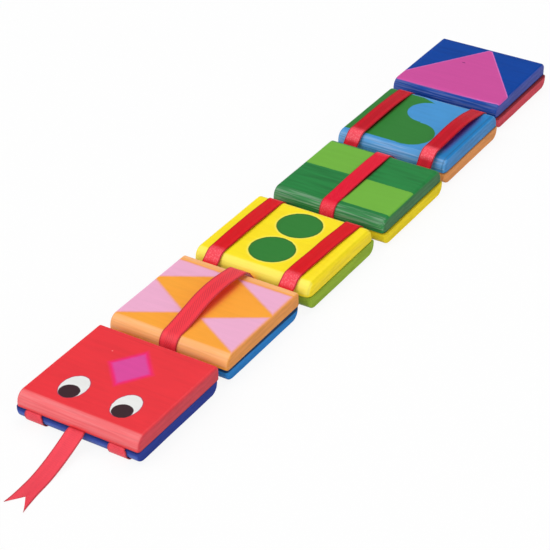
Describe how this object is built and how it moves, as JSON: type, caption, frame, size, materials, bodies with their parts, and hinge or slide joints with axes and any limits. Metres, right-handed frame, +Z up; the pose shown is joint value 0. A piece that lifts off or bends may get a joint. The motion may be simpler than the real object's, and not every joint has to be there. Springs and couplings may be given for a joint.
{
  "type": "jacob's ladder toy",
  "caption": "Jacob's ladder toy: painted wooden blocks in a row, hinged by ribbon straps so that each folds over the next, with a snake's face and tongue.",
  "frame": {"origin": "on the surface that it lies on, under the middle of its bounding box, tongue included", "axes": "+Y runs along the row from the head to the tail, +X across it, and +Z up"},
  "size_m": [0.0658, 0.4258, 0.0184],
  "materials": {
    "red_paint": "satin brush paint on beech",
    "orange_paint": "satin brush paint on beech",
    "yellow_paint": "satin brush paint on beech",
    "dark_green_paint": "satin brush paint on beech",
    "light_blue_paint": "satin brush paint on beech",
    "royal_blue_paint": "satin brush paint on beech",
    "navy_paint": "satin brush paint on beech",
    "mid_blue_paint": "satin brush paint on beech",
    "yellow_green_paint": "satin brush paint on beech",
    "dull_yellow_paint": "satin brush paint on beech",
    "dull_orange_paint": "satin brush paint on beech",
    "coral_paint": "satin brush paint on beech",
    "red_ribbon": "woven ribbon, soft sheen"
  },
  "bodies": {
    "block_1": {"block_1_top_board": "red_paint", "block_1_bottom_board": "navy_paint", "strap_1_2_left": "red_ribbon", "strap_1_2_right": "red_ribbon", "forked_tongue": "red_ribbon"},
    "block_2": {"block_2_top_board": "orange_paint", "block_2_bottom_board": "mid_blue_paint", "strap_1_2_centre": "red_ribbon", "strap_2_3_centre": "red_ribbon"},
    "block_3": {"block_3_top_board": "yellow_paint", "block_3_bottom_board": "yellow_green_paint", "strap_2_3_left": "red_ribbon", "strap_2_3_right": "red_ribbon", "strap_3_4_left": "red_ribbon", "strap_3_4_right": "red_ribbon"},
    "block_4": {"block_4_top_board": "dark_green_paint", "block_4_bottom_board": "dull_yellow_paint", "strap_3_4_centre": "red_ribbon", "strap_4_5_centre": "red_ribbon"},
    "block_5": {"block_5_top_board": "light_blue_paint", "block_5_bottom_board": "dull_orange_paint", "strap_4_5_left": "red_ribbon", "strap_4_5_right": "red_ribbon", "strap_5_6_left": "red_ribbon", "strap_5_6_right": "red_ribbon"},
    "block_6": {"block_6_top_board": "royal_blue_paint", "block_6_bottom_board": "coral_paint", "strap_5_6_centre": "red_ribbon"}
  },
  "joints": [
    {"name": "fold_5_6", "type": "hinge", "parent": "block_5", "child": "block_6", "pos_m": [0, 0.15092, 0], "axis": [-1, 0, 0], "range_deg": [0, 178], "deforming": ["strap_5_6_left", "strap_5_6_centre", "strap_5_6_right"]},
    {"name": "fold_4_5", "type": "hinge", "parent": "block_5", "child": "block_4", "pos_m": [0, 0.08642, 0.0146], "axis": [-1, 0, 0], "range_deg": [0, 178], "deforming": ["strap_4_5_left", "strap_4_5_centre", "strap_4_5_right"]},
    {"name": "fold_3_4", "type": "hinge", "parent": "block_4", "child": "block_3", "pos_m": [0, 0.02192, 0], "axis": [1, 0, 0], "range_deg": [0, 178], "deforming": ["strap_3_4_left", "strap_3_4_centre", "strap_3_4_right"]},
    {"name": "fold_2_3", "type": "hinge", "parent": "block_3", "child": "block_2", "pos_m": [0, -0.04258, 0.0146], "axis": [-1, 0, 0], "range_deg": [0, 178], "deforming": ["strap_2_3_left", "strap_2_3_centre", "strap_2_3_right"]},
    {"name": "fold_1_2", "type": "hinge", "parent": "block_2", "child": "block_1", "pos_m": [0, -0.10708, 0], "axis": [1, 0, 0], "range_deg": [0, 178], "deforming": ["strap_1_2_left", "strap_1_2_centre", "strap_1_2_right"]}
  ]
}
